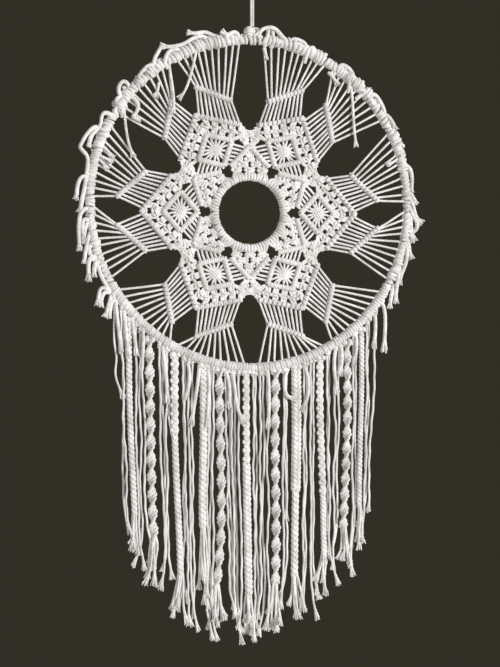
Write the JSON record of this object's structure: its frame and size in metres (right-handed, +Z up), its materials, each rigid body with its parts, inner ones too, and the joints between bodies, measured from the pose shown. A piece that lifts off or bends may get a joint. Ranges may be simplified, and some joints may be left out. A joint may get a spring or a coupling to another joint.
{
  "type": "macrame dreamcatcher",
  "caption": "Round macrame wall hanging: a knotted cotton net with a flower of petals stretched between a small ring and a wide hoop, with knotted sinnets and plain cords hanging below.",
  "frame": {"origin": "the nail, at the inner top of the hanger loop", "axes": "+Z up, +Y from the front into the wall, +X to the right as seen from the front"},
  "size_m": [0.3174, 0.011, 0.5977],
  "materials": {
    "cotton_cord": "single-strand bleached cotton, soft and matt",
    "hanger_cord": "thin twisted natural cotton, matt",
    "hoop_wire": "plain drawn steel wire, butt-welded"
  },
  "bodies": {
    "hanger": {"hanger_loop": "hanger_cord"},
    "knot": {"hanger_knot": "hanger_cord"},
    "wheel": {"outer_hoop": "hoop_wire", "inner_ring": "hoop_wire", "leaf_1": "cotton_cord", "leaf_2": "cotton_cord", "leaf_3": "cotton_cord", "leaf_4": "cotton_cord", "leaf_5": "cotton_cord", "leaf_6": "cotton_cord", "diamond_1": "cotton_cord", "diamond_2": "cotton_cord", "diamond_3": "cotton_cord", "diamond_4": "cotton_cord", "diamond_5": "cotton_cord", "diamond_6": "cotton_cord", "fan_1_left": "cotton_cord", "fan_1_right": "cotton_cord", "fan_2_left": "cotton_cord", "fan_2_right": "cotton_cord", "fan_3_left": "cotton_cord", "fan_3_right": "cotton_cord", "fan_4_left": "cotton_cord", "fan_4_right": "cotton_cord", "fan_5_left": "cotton_cord", "fan_5_right": "cotton_cord", "fan_6_left": "cotton_cord", "fan_6_right": "cotton_cord"},
    "fringe_1": {"strands_0": "cotton_cord", "sinnet_1": "cotton_cord", "strands_1": "cotton_cord"},
    "fringe_2": {"sinnet_2": "cotton_cord", "strands_2": "cotton_cord"},
    "fringe_3": {"sinnet_3": "cotton_cord", "strands_3": "cotton_cord"},
    "fringe_4": {"sinnet_4": "cotton_cord", "strands_4": "cotton_cord"},
    "fringe_5": {"sinnet_5": "cotton_cord", "strands_5": "cotton_cord"},
    "fringe_6": {"sinnet_6": "cotton_cord", "strands_6": "cotton_cord"},
    "fringe_7": {"sinnet_7": "cotton_cord", "strands_7": "cotton_cord"},
    "fringe_8": {"sinnet_8": "cotton_cord", "strands_8": "cotton_cord"},
    "fringe_9": {"sinnet_9": "cotton_cord", "strands_9": "cotton_cord"},
    "fringe_10": {"sinnet_10": "cotton_cord", "strands_10": "cotton_cord"},
    "fringe_11": {"sinnet_11": "cotton_cord", "strands_11": "cotton_cord"}
  },
  "joints": [
    {"name": "hanger_sway", "type": "hinge", "parent": "hanger", "child": "knot", "pos_m": [0, 0, -0.05], "axis": [0, 1, 0], "range_deg": [-20, 20]},
    {"name": "hoop_tilt", "type": "hinge", "parent": "knot", "child": "wheel", "pos_m": [0, 0, -0.054], "axis": [-1, 0, 0], "range_deg": [-15, 30]},
    {"name": "fringe_swing_01", "type": "hinge", "parent": "wheel", "child": "fringe_1", "pos_m": [-0.113, 0, -0.29885], "axis": [-1, 0, 0], "range_deg": [-15, 30]},
    {"name": "fringe_swing_02", "type": "hinge", "parent": "wheel", "child": "fringe_2", "pos_m": [-0.095, 0, -0.31664], "axis": [-1, 0, 0], "range_deg": [-15, 30]},
    {"name": "fringe_swing_03", "type": "hinge", "parent": "wheel", "child": "fringe_3", "pos_m": [-0.0715, 0, -0.33265], "axis": [-1, 0, 0], "range_deg": [-15, 30]},
    {"name": "fringe_swing_04", "type": "hinge", "parent": "wheel", "child": "fringe_4", "pos_m": [-0.046, 0, -0.3437], "axis": [-1, 0, 0], "range_deg": [-15, 30]},
    {"name": "fringe_swing_05", "type": "hinge", "parent": "wheel", "child": "fringe_5", "pos_m": [-0.0305, 0, -0.34783], "axis": [-1, 0, 0], "range_deg": [-15, 30]},
    {"name": "fringe_swing_06", "type": "hinge", "parent": "wheel", "child": "fringe_6", "pos_m": [-0.0055, 0, -0.3509], "axis": [-1, 0, 0], "range_deg": [-15, 30]},
    {"name": "fringe_swing_07", "type": "hinge", "parent": "wheel", "child": "fringe_7", "pos_m": [0.0215, 0, -0.34944], "axis": [-1, 0, 0], "range_deg": [-15, 30]},
    {"name": "fringe_swing_08", "type": "hinge", "parent": "wheel", "child": "fringe_8", "pos_m": [0.0415, 0, -0.34508], "axis": [-1, 0, 0], "range_deg": [-15, 30]},
    {"name": "fringe_swing_09", "type": "hinge", "parent": "wheel", "child": "fringe_9", "pos_m": [0.0635, 0, -0.33674], "axis": [-1, 0, 0], "range_deg": [-15, 30]},
    {"name": "fringe_swing_10", "type": "hinge", "parent": "wheel", "child": "fringe_10", "pos_m": [0.089, 0, -0.32137], "axis": [-1, 0, 0], "range_deg": [-15, 30]},
    {"name": "fringe_swing_11", "type": "hinge", "parent": "wheel", "child": "fringe_11", "pos_m": [0.104, 0, -0.3085], "axis": [-1, 0, 0], "range_deg": [-15, 30]}
  ]
}
